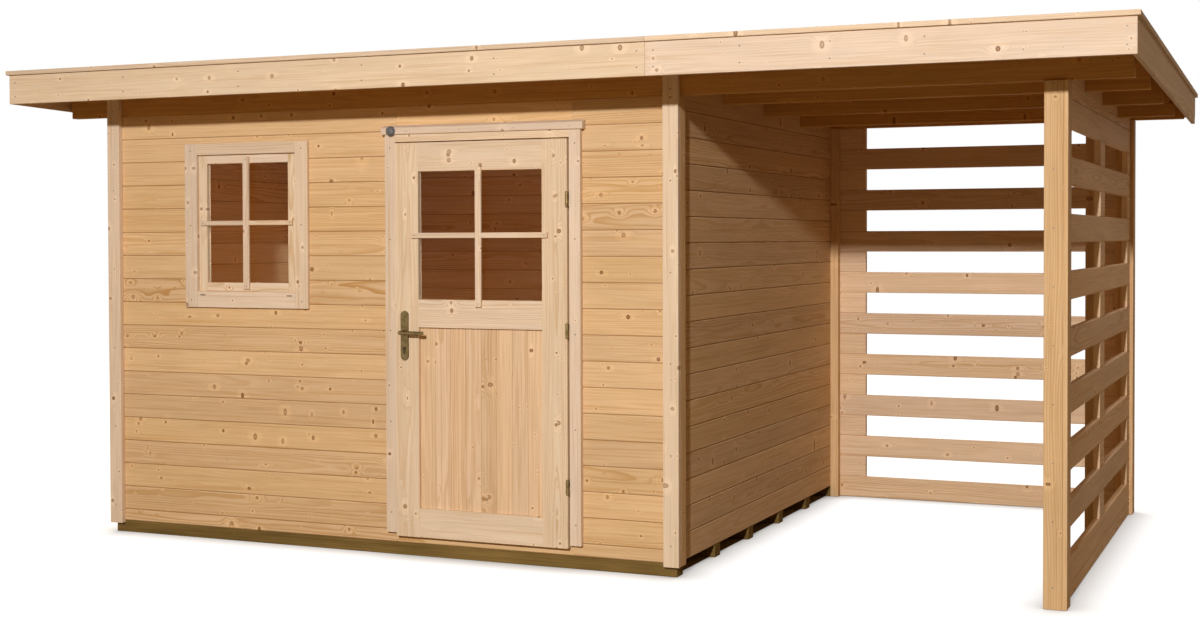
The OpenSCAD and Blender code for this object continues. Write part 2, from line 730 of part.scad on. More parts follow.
floor_bearers();
floor_boards();
front_wall_left();
front_wall_right();
front_wall_over_door();
door_sill();
left_wall();
back_wall();
right_wall();
front_corner_boards();
side_corner_boards();
rear_corner_boards();
store_front_board();
store_side_boards();
store_rear_board();
store_battens();
back_slats();
back_spacers();
side_slats();
side_spacers();
purlins();
roof_deck();
roof_felt();
front_fascia();
side_fascias();
rear_fascia();
roof_strips();
window_casing();
window_lining();
window_sash();
window_glass();
window_bars();
door_frame();
door_lining();
door_drip_strip();
door_stiles();
door_rails();
door_panel();
door_glass();
door_bars();
hinge_frame_halves();
hinge_door_halves();
handle_plates();
handle_lever();
lock_cylinders();
door_buffer();
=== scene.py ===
import bisect
import math
import random

import bmesh
import bpy
from mathutils import Matrix, Vector


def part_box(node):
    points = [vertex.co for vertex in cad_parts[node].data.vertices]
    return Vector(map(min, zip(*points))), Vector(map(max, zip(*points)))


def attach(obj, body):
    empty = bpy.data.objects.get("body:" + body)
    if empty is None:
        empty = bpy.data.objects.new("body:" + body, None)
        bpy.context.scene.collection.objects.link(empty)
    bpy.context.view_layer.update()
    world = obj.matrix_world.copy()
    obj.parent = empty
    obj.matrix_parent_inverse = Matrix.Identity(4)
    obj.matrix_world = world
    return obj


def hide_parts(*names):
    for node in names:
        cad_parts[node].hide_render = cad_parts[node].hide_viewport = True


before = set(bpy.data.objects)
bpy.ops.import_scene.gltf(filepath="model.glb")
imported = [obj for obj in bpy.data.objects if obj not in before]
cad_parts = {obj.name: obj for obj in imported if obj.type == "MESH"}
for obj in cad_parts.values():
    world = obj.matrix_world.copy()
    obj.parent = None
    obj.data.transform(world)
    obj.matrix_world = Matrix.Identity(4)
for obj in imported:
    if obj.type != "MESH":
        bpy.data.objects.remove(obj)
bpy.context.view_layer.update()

# Boards, gaps and roundings in metres, and the number of boards in the door's panel
COURSE = 0.112
FLOOR_BOARD = 0.096
PANEL_BOARDS = 8
DECK_THICK = 0.018
DOOR_LINING = 0.031
LEAF_GAP = 0.0055
WINDOW_BARS = (0.033, 0.022)
DOOR_BARS = (0.030, 0.024)
PLANK_ROUND = 0.0008
BOARD_ROUND = 0.0022
BEAM_ROUND = 0.004
METAL_ROUND = 0.0006
PLATE_ROUND = 0.0016
GROOVE_WIDTH = 0.008
JOINT_MARGIN = 0.008

# Slots in the window casing's lower board, in metres
DRAIN_OUT = 0.016
DRAIN_DROP = 0.0173
DRAIN_HALF = 0.013
DRAIN_RADIUS = 0.0022
DRAIN_DEPTH, DRAIN_PROUD = 0.004, 0.0003

# Roofing sheet in metres, with its number of rows and of points along a row
FELT_THICK = 0.003
FELT_LAP = 0.08
FELT_RISE = 0.06
FELT_WAVE = 0.0007
FELT_ROWS = 3
FELT_STEPS = 60

# Heads of fasteners and their distances from edges, in metres; the dish as (share of radius, height)
SCREW_RADIUS = 0.0032
NAIL_RADIUS = 0.0026
STRIP_NAIL_RADIUS = 0.002
BUFFER_SCREW_RADIUS = 0.004
HEAD_DISH = ((1.0, -0.0004), (1.0, 0.0003), (0.8, 0.0005), (0.4, 0.0002), (0.0, -0.0002))
PIN_INSET = 0.014
NAIL_INSET = 0.03
BACK_NAIL_INSET = 0.045
PLATE_SCREW_INSET = 0.016
CASING_INSET = 0.034
FRAME_INSET = 0.025
FASCIA_INSET = 0.035
REAR_FASCIA_INSET = 0.04

# Rows of fasteners: distances from the low and the high end, in metres, and how many there are
CASING_ROW = (CASING_INSET, CASING_INSET, 3)
FRAME_ROW = (0.09, 0.06, 5)
DRIP_ROW = (0.13, 0.06, 4)
CORNER_ROW = (0.09, 0.12, 6)
FASCIA_ROW = (FASCIA_INSET, FASCIA_INSET, 6)
SIDE_FASCIA_ROW = (0.06, 0.06, 8)
REAR_FASCIA_ROW = (0.05, 0.05, 9)

# Turned shapes as (radius, height) in metres, and the lock's outline
HINGE_CAP = [(0.0066, -0.0005), (0.0066, 0.0006), (0.0055, 0.0018), (0.003, 0.0027), (0.0, 0.003)]
HINGE_AXIS_IN = 0.007
COLLAR = [(0.0108, -0.001), (0.0138, -0.001), (0.0138, 0.0016), (0.0125, 0.003), (0.0112, 0.003),
          (0.0108, 0.0024), (0.0108, -0.001)]
KNOB = [(0.0205, 0.0), (0.022, 0.0012), (0.022, 0.004), (0.0205, 0.0055), (0.0188, 0.006),
        (0.0188, 0.0072), (0.0200, 0.0082), (0.0198, 0.0115), (0.0180, 0.0145), (0.0145, 0.0168),
        (0.0095, 0.0178), (0.0060, 0.0179), (0.0050, 0.0168), (0.0045, 0.0135), (0.0, 0.0135)]
KNOB_SCREW_OUT = 0.0138
LOCK_RADIUS, LOCK_TAIL_RADIUS, LOCK_TAIL_DROP = 0.0085, 0.005, 0.0195
LOCK_CHAMFER, LOCK_FACE_SCALE = 0.0006, 0.94
SLIT_RADIUS, SLIT_HALF, SLIT_DEPTH, SLIT_PROUD = 0.0009, 0.004, 0.002, 0.0002

# The photograph's camera: its frame, focal length and principal point in pixels, angles in degrees
IMAGE_WIDTH = 1200
IMAGE_HEIGHT = 622
FOCAL_PIXELS = 1659.2
CENTRE_PIXELS = (604.5, 272.3)
CAMERA_PLACE = Vector((3.1468, -7.5422, 1.4224))
CAMERA_YAW = 23.375
CAMERA_DOWN = 1.184
CAMERA_ROLL = 0.17
SENSOR_MM = 36.0

# Light: the key stands in front, a little to the right and above; a panel lights the back and the left
KEY_AIM = Vector((0.68, -1.44, 2.06))
KEY_DISTANCE = 11.0
KEY_RIGHT = 10.5
KEY_UP = 14.6
KEY_POWER = 1120.0
KEY_SIZE = 0.45
AMBIENT = (1.0, 0.62, 0.25, 1.0)
AMBIENT_STRENGTH = 0.235
REAR_PLACE = Vector((-6.0, 7.5, 7.0))
REAR_POWER = 700.0
REAR_SIZE = 3.0
INSIDE_POWER = 7.9
INSIDE_COLOUR = (1.0, 0.50, 0.09)
INSIDE_SHARES = (0.40, 0.38)
INSIDE_HEIGHT = 1.2
INSIDE_SIZE = 0.3

# Floor: its own colour, the white that is seen, and its sizes and the contact shadow's in metres
FLOOR_COLOUR = (0.32, 0.25, 0.15, 1.0)
FLOOR_GLOW = (0.94, 0.965, 0.992, 1.0)
FLOOR_REACH = 60.0
FLOOR_DROP = 0.0005
CONTACT_REACH = 0.16

# Timber: noises as cycles a metre along and across the grain (slow, wavy, fibre, fine, streak, cloud)
GRAIN_NOISES = ((0.9, 7.0), (6.0, 30.0), (9.0, 420.0), (3.2, 240.0), (1.5, 100.0), (2.6, 16.0))
RING_PITCH = 0.0072
SLOW_BEND, WAVY_BEND, KNOT_BEND = 0.055, 0.0034, 2.4
YEARS_SCALE = 70.0
SAW_SCALE, SAW_WANDER = 1700.0, 30.0
PITH_ALONG, PITH_SIDE, PITH_NEAR, PITH_FAR = 30.0, 0.05, 0.03, 0.11

# Knots: a cell along the grain (m) and round the pith (rad), the share of cells without one, sizes (m)
KNOT_LENGTH, KNOT_TURN = 0.165, 0.55
KNOT_FREE = 0.30
KNOT_SMALL, KNOT_SPREAD, KNOT_NONE = 0.0015, 0.0080, 0.00001
HALO_STRETCH = (4.5, 2.6)
KNOT_CENTRE = (0.33, 0.14, 0.04, 1.0)
KNOT_RIM = (0.12, 0.045, 0.012, 1.0)
# Painted shade: the dark colour laid into the valleys of the joints between boards
JOINT_SHADE = (0.20, 0.085, 0.02, 1.0)

# Brushing of metal, in cycles a metre along x, y and z
BRUSH = (1800.0, 1800.0, 60.0)

SHED, DOOR, LEVER = "shed", "door", "lever"
FRONT, BACK = Vector((0.0, -1.0, 0.0)), Vector((0.0, 1.0, 0.0))
LEFT, RIGHT = Vector((-1.0, 0.0, 0.0)), Vector((1.0, 0.0, 0.0))
UP, DOWN = Vector((0.0, 0.0, 1.0)), Vector((0.0, 0.0, -1.0))


class Nodes:
    """Makes the nodes of one shader; each call gives back an output socket."""

    def __init__(self, name):
        self.material = bpy.data.materials.new(name)
        self.material.use_nodes = True
        self.tree = self.material.node_tree
        self.tree.nodes.clear()

    def add(self, kind, sockets=None, output=0, **settings):
        node = self.tree.nodes.new("ShaderNode" + kind)
        for key, value in settings.items():
            setattr(node, key, value)
        for key, value in (sockets or {}).items():
            if isinstance(value, bpy.types.NodeSocket):
                self.tree.links.new(value, node.inputs[key])
            else:
                node.inputs[key].default_value = value
        return node.outputs[output]

    def math(self, operation, *values):
        return self.add("Math", dict(enumerate(values)), operation=operation)

    def attribute(self, name):
        return self.split(self.add("Attribute", output="Vector", attribute_name=name))

    def split(self, vector):
        node = self.tree.nodes.new("ShaderNodeSeparateXYZ")
        self.tree.links.new(vector, node.inputs[0])
        return node.outputs

    def join(self, x, y, z):
        return self.add("CombineXYZ", {0: x, 1: y, 2: z})

    def noise(self, vector, detail=2.0, scale=1.0):
        sockets = {"Vector": vector, "Scale": scale, "Detail": detail}
        return self.add("TexNoise", sockets, output="Fac")

    def ease(self, value, low, high):
        """0 at low, 1 at high, with a smooth run between."""
        sockets = {"Value": value, "From Min": low, "From Max": high}
        return self.add("MapRange", sockets, interpolation_type="SMOOTHSTEP")

    def mix(self, amount, first, second, blend="MIX"):
        sockets = {0: amount, 6: first, 7: second}
        return self.add("Mix", sockets, output=2, data_type="RGBA", blend_type=blend)

    def bump(self, height, strength, distance):
        return self.add("Bump", {"Height": height, "Strength": strength, "Distance": distance})

    def surface(self, shader):
        output = self.tree.nodes.new("ShaderNodeOutputMaterial")
        self.tree.links.new(shader, output.inputs["Surface"])
        return self.material

    def principled(self, **sockets):
        named = {key.replace("_", " "): value for key, value in sockets.items()}
        return self.add("BsdfPrincipled", named)


def rgb(r, g, b):
    return (r, g, b, 1.0)


def knot_field(n, u, theta, radius):
    """Branches out from the pith: the knot, its dark rim, its pale halo and its push on the rings."""
    cell = n.join(n.math("DIVIDE", u, KNOT_LENGTH), n.math("DIVIDE", theta, KNOT_TURN), 0.0)
    voronoi = n.tree.nodes.new("ShaderNodeTexVoronoi")
    voronoi.voronoi_dimensions = "2D"
    voronoi.inputs["Scale"].default_value = 1.0
    n.tree.links.new(cell, voronoi.inputs["Vector"])
    place = n.split(voronoi.outputs["Position"])
    chance = n.split(voronoi.outputs["Color"])
    along = n.math("SUBTRACT", u, n.math("MULTIPLY", place[0], KNOT_LENGTH))
    turned = n.math("SUBTRACT", theta, n.math("MULTIPLY", place[1], KNOT_TURN))
    across = n.math("MULTIPLY", radius, turned)
    share = n.math("MAXIMUM", n.math("SUBTRACT", chance[0], KNOT_FREE), 0.0)
    share = n.math("DIVIDE", share, 1.0 - KNOT_FREE)
    size = n.math("MULTIPLY_ADD", n.math("POWER", share, 4.0), KNOT_SPREAD, KNOT_SMALL)
    size = n.math("MULTIPLY_ADD", n.math("GREATER_THAN", share, 0.0), size, KNOT_NONE)
    depth = n.math("MULTIPLY_ADD", n.math("POWER", chance[1], 2.0), 0.5, 0.5)

    def reach(stretch_along, stretch_across):
        a = n.math("DIVIDE", along, n.math("MULTIPLY", size, stretch_along))
        b = n.math("DIVIDE", across, n.math("MULTIPLY", size, stretch_across))
        return n.math("ADD", n.math("MULTIPLY", a, a), n.math("MULTIPLY", b, b))

    near, wide = reach(1.0, 1.0), reach(*HALO_STRETCH)
    inside = n.math("MULTIPLY", n.ease(near, 1.7, 0.4), depth)
    rim = n.math("MULTIPLY", inside, n.ease(near, 0.1, 0.7))
    halo = n.ease(wide, 1.6, 0.2)
    push = n.math("MULTIPLY", size, n.math("EXPONENT", n.math("MULTIPLY", wide, -1.0)))
    return inside, rim, halo, push


def timber_material(name, early, late, contrast=0.9, stains=0.2, joint=0.86, roughness=0.6,
                    saw_marks=0.0):
    """Softwood: rings round a pith beside each board, knots, fibres and a tone of each board's own,
    with painted shade in the joints and a painted highlight beside them.
    """
    n = Nodes(name)
    u, v, w = n.attribute("grain")
    light, hue, figure = n.attribute("tone")
    # Painted light at the joints: 0 to 1 towards a joint's valley for painted shade, below 0 on its
    # upward faces for a painted highlight
    groove_shade_and_highlight = n.add("Attribute", output="Fac", attribute_name="groove_shade_and_highlight")
    theta = n.math("ARCTAN2", v, w)
    radius = n.add("VectorMath", {0: n.join(0.0, v, w)}, output="Value", operation="LENGTH")

    def grain_noise(along, across):
        pairs = ((u, along), (v, across), (w, across))
        return n.noise(n.join(*[n.math("MULTIPLY", axis, scale) for axis, scale in pairs]))

    slow, wavy, fibre, fine, streak, cloud = [grain_noise(*scales) for scales in GRAIN_NOISES]
    inside, rim, halo, push = knot_field(n, u, theta, radius)

    bent = n.math("MULTIPLY_ADD", n.math("SUBTRACT", slow, 0.5), SLOW_BEND, radius)
    bent = n.math("MULTIPLY_ADD", n.math("SUBTRACT", wavy, 0.5), WAVY_BEND, bent)
    bent = n.math("MULTIPLY_ADD", push, KNOT_BEND, bent)
    ring = n.math("FRACT", n.math("DIVIDE", bent, RING_PITCH))
    band = n.math("MULTIPLY", n.ease(ring, 0.30, 0.88), n.ease(ring, 1.0, 0.92))
    years = n.noise(n.join(n.math("MULTIPLY", bent, YEARS_SCALE), 0.0, 0.0), detail=1.0)
    strength = n.math("MULTIPLY_ADD", n.ease(figure, 0.1, 0.9), 0.75, 0.25)
    strength = n.math("MULTIPLY", strength, n.ease(years, 0.2, 0.65))
    band = n.math("MULTIPLY", n.math("MULTIPLY", band, strength), contrast)
    for lines, amount in ((streak, 0.50), (fine, 0.45)):
        band = n.math("MAXIMUM", band, n.math("MULTIPLY", n.ease(lines, 0.50, 0.72), amount))
    colour = n.mix(band, early, late)
    colour = n.mix(n.math("MULTIPLY", inside, 0.85), colour, KNOT_CENTRE)
    colour = n.mix(n.math("MULTIPLY", rim, 0.9), colour, KNOT_RIM)

    value = n.math("MULTIPLY_ADD", light, 0.13, 0.91)
    value = n.math("MULTIPLY_ADD", n.math("SUBTRACT", cloud, 0.5), stains, value)
    value = n.math("MULTIPLY_ADD", n.math("SUBTRACT", fibre, 0.5), 0.14, value)
    value = n.math("MULTIPLY_ADD", n.math("SUBTRACT", halo, inside), 0.10, value)
    # Painted highlight on the upward side of each joint
    value = n.math("MULTIPLY_ADD", n.ease(groove_shade_and_highlight, 0.0, -0.5), 0.12, value)
    red, blue = n.math("MULTIPLY_ADD", hue, 0.02, value), n.math("MULTIPLY_ADD", hue, -0.10, value)
    colour = n.mix(1.0, colour, n.join(red, value, blue), "MULTIPLY")
    # Painted shade in each joint's valley; joint sets how dark it gets
    colour = n.mix(n.math("MULTIPLY", n.ease(groove_shade_and_highlight, 0.25, 0.95), joint), colour, JOINT_SHADE)

    height = n.math("MULTIPLY", fibre, 0.5)
    if saw_marks:
        wander = n.math("MULTIPLY", slow, SAW_WANDER)
        marks = n.math("SINE", n.math("MULTIPLY_ADD", u, SAW_SCALE, wander))
        height = n.math("MULTIPLY_ADD", marks, saw_marks, height)
    rough = n.math("MULTIPLY_ADD", fibre, 0.18, roughness - 0.09)
    normal = n.bump(height, 0.35, 0.0006)
    return n.surface(n.principled(Base_Color=colour, Roughness=rough, Normal=normal, IOR=1.45,
                                  Specular_IOR_Level=0.02))


def metal_material(name, colour, dull, roughness):
    """Plated metal with fine brushing and slightly tarnished patches."""
    n = Nodes(name)
    place = n.add("TexCoord", output="Object")
    patches = n.noise(place, detail=4.0, scale=45.0)
    lines = [n.math("MULTIPLY", axis, scale) for axis, scale in zip(n.split(place), BRUSH)]
    tint = n.mix(n.ease(patches, 0.35, 0.75), colour, dull)
    rough = n.math("MULTIPLY_ADD", patches, 0.22, roughness - 0.08)
    normal = n.bump(n.noise(n.join(*lines)), 0.15, 0.0002)
    return n.surface(n.principled(Base_Color=tint, Metallic=1.0, Roughness=rough, Normal=normal))


def membrane_material(name):
    """Mineral-faced roofing sheet: dark grey with pale grains."""
    n = Nodes(name)
    place = n.add("TexCoord", output="Object")
    grains = n.add("TexVoronoi", {"Vector": place, "Scale": 520.0}, output="Color")
    level = n.split(grains)[0]
    patches = n.noise(place, detail=5.0, scale=3.0)
    colour = n.mix(n.ease(level, 0.2, 1.0), rgb(0.030, 0.031, 0.033), rgb(0.105, 0.106, 0.108))
    worn = n.math("MULTIPLY", n.ease(patches, 0.35, 0.75), 0.35)
    colour = n.mix(worn, colour, rgb(0.085, 0.082, 0.078))
    normal = n.bump(level, 0.5, 0.0012)
    return n.surface(n.principled(Base_Color=colour, Roughness=0.88, Normal=normal))


def rubber_material(name, dark, pale):
    """Dark matt surface with a little dust."""
    n = Nodes(name)
    place = n.add("TexCoord", output="Object")
    dust = n.noise(place, detail=5.0, scale=120.0)
    colour = n.mix(n.ease(dust, 0.4, 0.75), dark, pale)
    normal = n.bump(dust, 0.2, 0.0004)
    return n.surface(n.principled(Base_Color=colour, Roughness=0.55, Normal=normal))


def glass_material(name):
    """Clear float glass that lets the key light through to the inside."""
    n = Nodes(name)
    glass = n.principled(Base_Color=rgb(0.93, 0.96, 0.95), Roughness=0.02, IOR=1.12,
                         Transmission_Weight=1.0)
    clear = n.add("BsdfTransparent", {"Color": rgb(0.92, 0.95, 0.94)})
    shadow = n.add("LightPath", output="Is Shadow Ray")
    return n.surface(n.add("MixShader", {0: shadow, 1: glass, 2: clear}))


def floor_material(name):
    """Floor that the eye, metal and glass see white, with painted shadow close to the object and under
    the shed.
    """
    n = Nodes(name)
    path = n.tree.nodes.new("ShaderNodeLightPath").outputs
    mirrored = n.math("MAXIMUM", path["Is Glossy Ray"], path["Is Transmission Ray"])
    seen = n.math("MAXIMUM", path["Is Camera Ray"], mirrored)
    diffuse = n.add("BsdfDiffuse", {"Color": FLOOR_COLOUR})
    # Painted shadow: the white fades by ambient occlusion near the object and stops under the shed
    open_share = n.add("AmbientOcclusion", {"Distance": CONTACT_REACH}, output="AO")
    place = n.split(n.add("NewGeometry", output="Position"))
    low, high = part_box("floor_boards")
    outside = []
    for axis in (0, 1):
        away = n.math("ABSOLUTE", n.math("SUBTRACT", place[axis], (low[axis] + high[axis]) / 2))
        outside.append(n.math("GREATER_THAN", away, (high[axis] - low[axis]) / 2))
    open_share = n.math("MULTIPLY", open_share, n.math("MAXIMUM", *outside))
    strength = n.math("MULTIPLY", seen, open_share)
    glow = n.add("Emission", {"Color": FLOOR_GLOW, "Strength": strength})
    return n.surface(n.add("AddShader", {0: diffuse, 1: glow}))


PLANKS = timber_material("spruce_planks", rgb(0.755, 0.513, 0.285), rgb(0.535, 0.277, 0.086))
TRIM = timber_material("spruce_trim", rgb(0.80, 0.635, 0.475), rgb(0.61, 0.38, 0.19), contrast=0.85)
# The door panel's joints get less painted shade than the walls'
PANEL = timber_material("spruce_panel", rgb(0.80, 0.57, 0.37), rgb(0.53, 0.28, 0.10), joint=0.45)
SLATS = timber_material("spruce_slats", rgb(0.87, 0.63, 0.42), rgb(0.64, 0.37, 0.16))
# Painted shade: a darker, more saturated copy of the spruce for the floor, purlins, roof boards and
# linings, which lie in shade
SPRUCE_IN_SHADE = timber_material("spruce_darkened_for_shade", rgb(0.67, 0.37, 0.115), rgb(0.43, 0.18, 0.04))
TREATED = timber_material("treated_timber", rgb(0.23, 0.145, 0.045), rgb(0.09, 0.05, 0.012),
                          stains=0.9, roughness=0.8, saw_marks=0.35)
BRASS = metal_material("bronze_tone_metal", rgb(0.20, 0.135, 0.056), rgb(0.12, 0.08, 0.032), 0.40)
STEEL = metal_material("yellow_zinc_metal", rgb(0.22, 0.15, 0.06), rgb(0.13, 0.088, 0.034), 0.44)
# Painted shade: the lock barrel's bronze darkened as if shaded in its recess
LOCK = metal_material("bronze_darkened_for_recess_shade", rgb(0.075, 0.052, 0.028), rgb(0.045, 0.031, 0.017), 0.42)
NAIL = metal_material("nail_metal", rgb(0.20, 0.17, 0.13), rgb(0.11, 0.085, 0.06), 0.5)
FELT = membrane_material("roof_membrane")
RUBBER = rubber_material("grey_rubber", rgb(0.085, 0.085, 0.09), rgb(0.17, 0.165, 0.16))
# Painted shade: near-black pieces laid where slots and key slits would be dark
SHADOW = rubber_material("painted_recess_shade", rgb(0.03, 0.018, 0.01), rgb(0.05, 0.03, 0.018))
GLASS = glass_material("clear_glass")


def put(name, mesh, material, body, nodes=()):
    """Makes a piece of a mesh: its material, the body it moves with and the nodes it stands for."""
    piece = bpy.data.objects.new(name, mesh)
    bpy.context.scene.collection.objects.link(piece)
    mesh.materials.clear()
    mesh.materials.append(material)
    flat = piece.modifiers.new("flat_faces", "WEIGHTED_NORMAL")
    flat.keep_sharp = True
    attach(piece, body)
    if nodes:
        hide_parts(*nodes)
    return piece


def smooth_mesh(bm, name, angle=40.0):
    """A mesh that is shaded smooth, apart from edges sharper than the angle."""
    mesh = bpy.data.meshes.new(name)
    bm.to_mesh(mesh)
    bm.free()
    mesh.polygons.foreach_set("use_smooth", [True] * len(mesh.polygons))
    mesh.set_sharp_from_angle(angle=math.radians(angle))
    return mesh


def cad_copy(node):
    """The node's own shape, with its flat faces whole again."""
    bm = bmesh.new()
    bm.from_mesh(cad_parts[node].data)
    bmesh.ops.remove_doubles(bm, verts=bm.verts, dist=1e-5)
    bmesh.ops.dissolve_limit(bm, angle_limit=math.radians(0.3), verts=bm.verts, edges=bm.edges)
    return bm


def solids(bm):
    """Groups of faces that hang together, in a fixed order."""
    left = set(bm.faces)
    groups = []
    for seed in bm.faces:
        if seed not in left:
            continue
        group, to_visit = {seed}, [seed]
        while to_visit:
            face = to_visit.pop()
            for edge in face.edges:
                for other in edge.link_faces:
                    if other not in group:
                        group.add(other)
                        to_visit.append(other)
        left -= group
        groups.append(sorted(group, key=lambda f: f.index))
    return groups


def extent(faces):
    points = [v.co for f in faces for v in f.verts]
    low = Vector([min(p[i] for p in points) for i in range(3)])
    high = Vector([max(p[i] for p in points) for i in range(3)])
    return low, high


def boxes(node):
    """Lowest and highest corners of each of the node's solids."""
    bm = cad_copy(node)
    found = [extent(group) for group in solids(bm)]
    bm.free()
    return found


def box_boards(corner_pairs):
    """Boards as plain boxes, each marked as a board of its own."""
    bm = bmesh.new()
    mark = bm.faces.layers.int.new("board")
    spans = []
    for number, (low, high) in enumerate(corner_pairs):
        size = high - low
        place = Matrix.Translation((low + high) / 2) @ Matrix.Diagonal(size.to_4d())
        made = bmesh.ops.create_cube(bm, size=1.0, matrix=place)
        for face in {f for v in made["verts"] for f in v.link_faces}:
            face[mark] = number
        spans.append((low, high))
    return bm, spans


def cad_boards(node, cut_axis=None, cuts=()):
    """The node's shape, marked as one board for each solid and each stretch between cuts."""
    bm = cad_copy(node)
    mark = bm.faces.layers.int.new("board")
    spans = []
    for group in solids(bm):
        low, high = extent(group)
        first = len(spans)
        for number in range(len(cuts) + 1):
            board_low, board_high = low.copy(), high.copy()
            if number > 0:
                board_low[cut_axis] = cuts[number - 1]
            if number < len(cuts):
                board_high[cut_axis] = cuts[number]
            spans.append((board_low, board_high))
        for face in group:
            number = bisect.bisect(cuts, face.calc_center_median()[cut_axis]) if cuts else 0
            face[mark] = first + number
    return bm, spans


def mark_grooves(bm):
    """Marks the narrow faces on both sides of a joint, and the depth of their corners, for the painted
    shade and highlight at the joint.
    """
    faces, depth = bm.faces.layers.int.new("groove_shade_and_highlight"), bm.verts.layers.float.new("depth")
    for edge in bm.edges:
        if not edge.is_manifold or edge.calc_face_angle_signed(0.0) > -math.radians(30):
            continue
        narrow = [f for f in edge.link_faces if f.calc_area() < GROOVE_WIDTH * edge.calc_length()]
        for face in narrow:
            face[faces] = 1
        if narrow:
            for vertex in edge.verts:
                vertex[depth] = 1.0
    return faces, depth


def round_edges(bm, angle, rounding, segments):
    """Rounds the outward edges that turn by more than the angle."""
    limit = math.radians(angle)
    sharp = [e for e in bm.edges if e.is_manifold and e.calc_face_angle_signed(0.0) > limit]
    bmesh.ops.bevel(bm, geom=sharp, offset=rounding, offset_type="OFFSET", segments=segments,
                    profile=0.5, affect="EDGES", clamp_overlap=True)


def timber(name, boards, material, body=SHED, nodes=(), rounding=BOARD_ROUND):
    """Rounds the boards, and gives each a grain along its length, a pith beside it and a tone."""
    bm, spans = boards
    mark = bm.faces.layers.int["board"]
    in_groove, depth = mark_grooves(bm)
    round_edges(bm, angle=30, rounding=rounding, segments=2)
    grain = bm.loops.layers.float_vector.new("grain")
    tone = bm.loops.layers.float_vector.new("tone")
    groove_shade_and_highlight = bm.loops.layers.float.new("groove_shade_and_highlight")
    chance = random.Random(name)
    places, tones = [], []
    for low, high in spans:
        size = high - low
        order = sorted(range(3), key=lambda i: -size[i])
        along, side = chance.uniform(-PITH_ALONG, PITH_ALONG), chance.gauss(0, PITH_SIDE)
        away = chance.choice((-1, 1)) * chance.uniform(PITH_NEAR, PITH_FAR)
        places.append((order, (low + high) / 2, Vector((along, side, away))))
        tones.append(Vector((chance.random(), chance.uniform(-0.5, 0.5), chance.random())))
    for face in bm.faces:
        order, middle, pith = places[face[mark]]
        for loop in face.loops:
            offset = loop.vert.co - middle
            loop[grain] = Vector([offset[axis] for axis in order]) + pith
            loop[tone] = tones[face[mark]]
            # Painted shade grows towards the valley; upward faces away from it get a painted highlight
            deep = loop.vert[depth]
            if face[in_groove]:
                loop[groove_shade_and_highlight] = 1.5 * deep - 0.5 if face.normal.z > 0.3 else deep
    return put(name, smooth_mesh(bm, name), material, body, nodes)


def joints(low, high, pitch, start):
    """Places of the joints between two ends, a whole number of pitches from the start."""
    count = math.floor((high - start) / pitch) + 1
    places = [start + i * pitch for i in range(count)]
    return [place for place in places if low + JOINT_MARGIN < place < high - JOINT_MARGIN]


def ring_boards(outer, inner):
    """Four boards between two boxes: the uprights run through, the other two lie between them."""
    (low, high), (in_low, in_high) = outer, inner
    x0, z0, x1, z1 = in_low.x, in_low.z, in_high.x, in_high.z
    y0, y1 = low.y, high.y
    return [
        (Vector((low.x, y0, low.z)), Vector((x0, y1, high.z))),
        (Vector((x1, y0, low.z)), Vector((high.x, y1, high.z))),
        (Vector((x0, y0, z1)), Vector((x1, y1, high.z))),
        (Vector((x0, y0, low.z)), Vector((x1, y1, z0))),
    ]


def walls_and_floor():
    """Plank walls, whose crossing courses are staggered by half a course, and the boarded floor."""
    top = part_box("left_wall")[1].z
    straight = joints(0.0, top, COURSE, COURSE)
    staggered = joints(0.0, top, COURSE, COURSE / 2)
    across = ("front_wall_left", "front_wall_right", "front_wall_over_door", "door_sill", "back_wall")
    for nodes, cuts in ((across, straight), (("left_wall", "right_wall"), staggered)):
        for node in nodes:
            boards = cad_boards(node, 2, cuts)
            timber(node + "_planks", boards, PLANKS, nodes=[node], rounding=PLANK_ROUND)
    low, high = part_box("floor_boards")
    boards = cad_boards("floor_boards", 0, joints(low.x, high.x, FLOOR_BOARD, low.x))
    # The floor boards take the spruce darkened as painted shade
    timber("floor_planks", boards, SPRUCE_IN_SHADE, nodes=["floor_boards"], rounding=PLANK_ROUND)
    timber("bearers", cad_boards("floor_bearers"), TREATED, nodes=["floor_bearers"])


def log_bay():
    """Slats and spacer blocks of the bay, on battens in its corners."""
    for node in ("back_slats", "back_spacers", "side_spacers"):
        timber(node + "_wood", cad_boards(node), SLATS, nodes=[node], rounding=PLANK_ROUND)
    staggered = joints(0.0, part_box("side_slats")[1].z, COURSE, COURSE / 2)
    boards = cad_boards("side_slats", 2, staggered)
    timber("side_slats_wood", boards, SLATS, nodes=["side_slats"], rounding=PLANK_ROUND)
    timber("battens", cad_boards("store_battens"), PLANKS, nodes=["store_battens"])


def trim_boards():
    """Corner boards, fascias and strips."""
    pale = ("front_corner_boards", "rear_corner_boards", "front_fascia", "side_fascias", "rear_fascia",
            "roof_strips", "door_drip_strip")
    golden = ("side_corner_boards", "store_front_board", "store_side_boards", "store_rear_board")
    for nodes, material in ((pale, TRIM), (golden, PLANKS)):
        for node in nodes:
            timber(node + "_wood", cad_boards(node), material, nodes=[node])


def roof():
    """Purlins and roof boards, both in the spruce darkened as painted shade; the boards' joints are
    counted from the fascia's left end.
    """
    beams = cad_boards("purlins")
    timber("purlin_beams", beams, SPRUCE_IN_SHADE, nodes=["purlins"], rounding=BEAM_ROUND)
    low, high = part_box("roof_deck")
    seams = joints(low.x, high.x, FLOOR_BOARD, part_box("front_fascia")[0].x)
    boards = cad_boards("roof_deck", 0, seams)
    timber("roof_boards", boards, SPRUCE_IN_SHADE, nodes=["roof_deck"], rounding=PLANK_ROUND)


